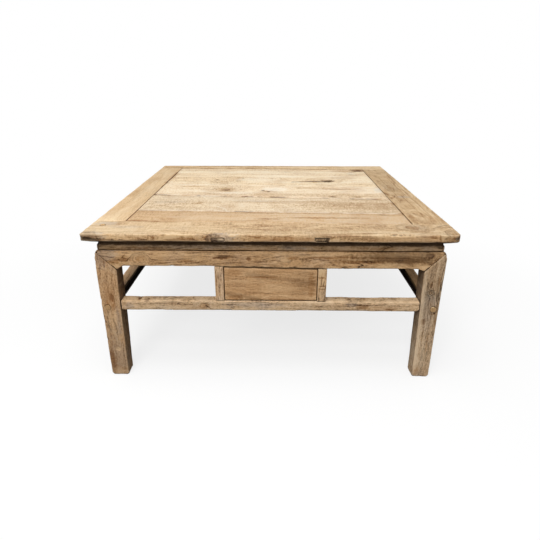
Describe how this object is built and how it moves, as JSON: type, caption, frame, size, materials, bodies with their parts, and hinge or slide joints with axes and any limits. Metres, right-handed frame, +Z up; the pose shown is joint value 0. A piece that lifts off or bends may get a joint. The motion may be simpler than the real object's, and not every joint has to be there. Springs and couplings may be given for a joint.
{
  "type": "kang table",
  "caption": "Low square waisted table of old elm: framed plank top, recessed waist, aprons mitred into tapered legs, stretchers and a central drawer.",
  "frame": {"origin": "on the floor, under the middle of the table top", "axes": "+X to the right as seen from the drawer's side, -Y out of the drawer's face, +Z up"},
  "size_m": [1, 1, 0.458],
  "materials": {
    "top_frame": "dry, bleached old elm, open grain, hand-planed and worn",
    "top_panel": "dry, pale old elm boards with darker seams and knots, matt",
    "waist_wood": "dark brown aged elm, matt",
    "apron_wood": "brown aged elm with knots, matt, worn arrises",
    "leg_wood": "grey-brown weathered elm with long grain, matt",
    "stretcher_wood": "grey-brown weathered elm, matt, worn upper arris",
    "drawer_front_wood": "light brown elm board, matt",
    "inner_wood": "raw unfinished inner timber, dusty and dark",
    "peg_wood": "hardwood pegs, end grain, matt"
  },
  "bodies": {
    "table": {"apron_back": "apron_wood", "apron_front": "apron_wood", "apron_left": "apron_wood", "apron_right": "apron_wood", "batten_left": "inner_wood", "batten_right": "inner_wood", "drawer_guide_left": "inner_wood", "drawer_guide_right": "inner_wood", "drawer_kicker_left": "inner_wood", "drawer_kicker_right": "inner_wood", "drawer_post_left": "leg_wood", "drawer_post_right": "leg_wood", "drawer_runner_left": "inner_wood", "drawer_runner_right": "inner_wood", "drawer_stops": "inner_wood", "leg_back_left": "leg_wood", "leg_back_right": "leg_wood", "leg_front_left": "leg_wood", "leg_front_right": "leg_wood", "panel_board_1": "top_panel", "panel_board_2": "top_panel", "panel_board_3": "top_panel", "panel_board_4": "top_panel", "stretcher_back": "stretcher_wood", "stretcher_front": "stretcher_wood", "stretcher_left": "stretcher_wood", "stretcher_pegs": "peg_wood", "stretcher_right": "stretcher_wood", "top_back_rail": "top_frame", "top_front_rail": "top_frame", "top_left_end": "top_frame", "top_pegs": "peg_wood", "top_right_end": "top_frame", "waist_back": "waist_wood", "waist_front": "waist_wood", "waist_left": "waist_wood", "waist_right": "waist_wood"},
    "drawer": {"drawer_front": "drawer_front_wood", "drawer_side_left": "inner_wood", "drawer_side_right": "inner_wood", "drawer_back": "inner_wood", "drawer_bottom": "inner_wood"}
  },
  "joints": [
    {"name": "drawer_slide", "type": "slide", "parent": "table", "child": "drawer", "axis": [0, -1, 0], "range_m": [0, 0.32]}
  ]
}
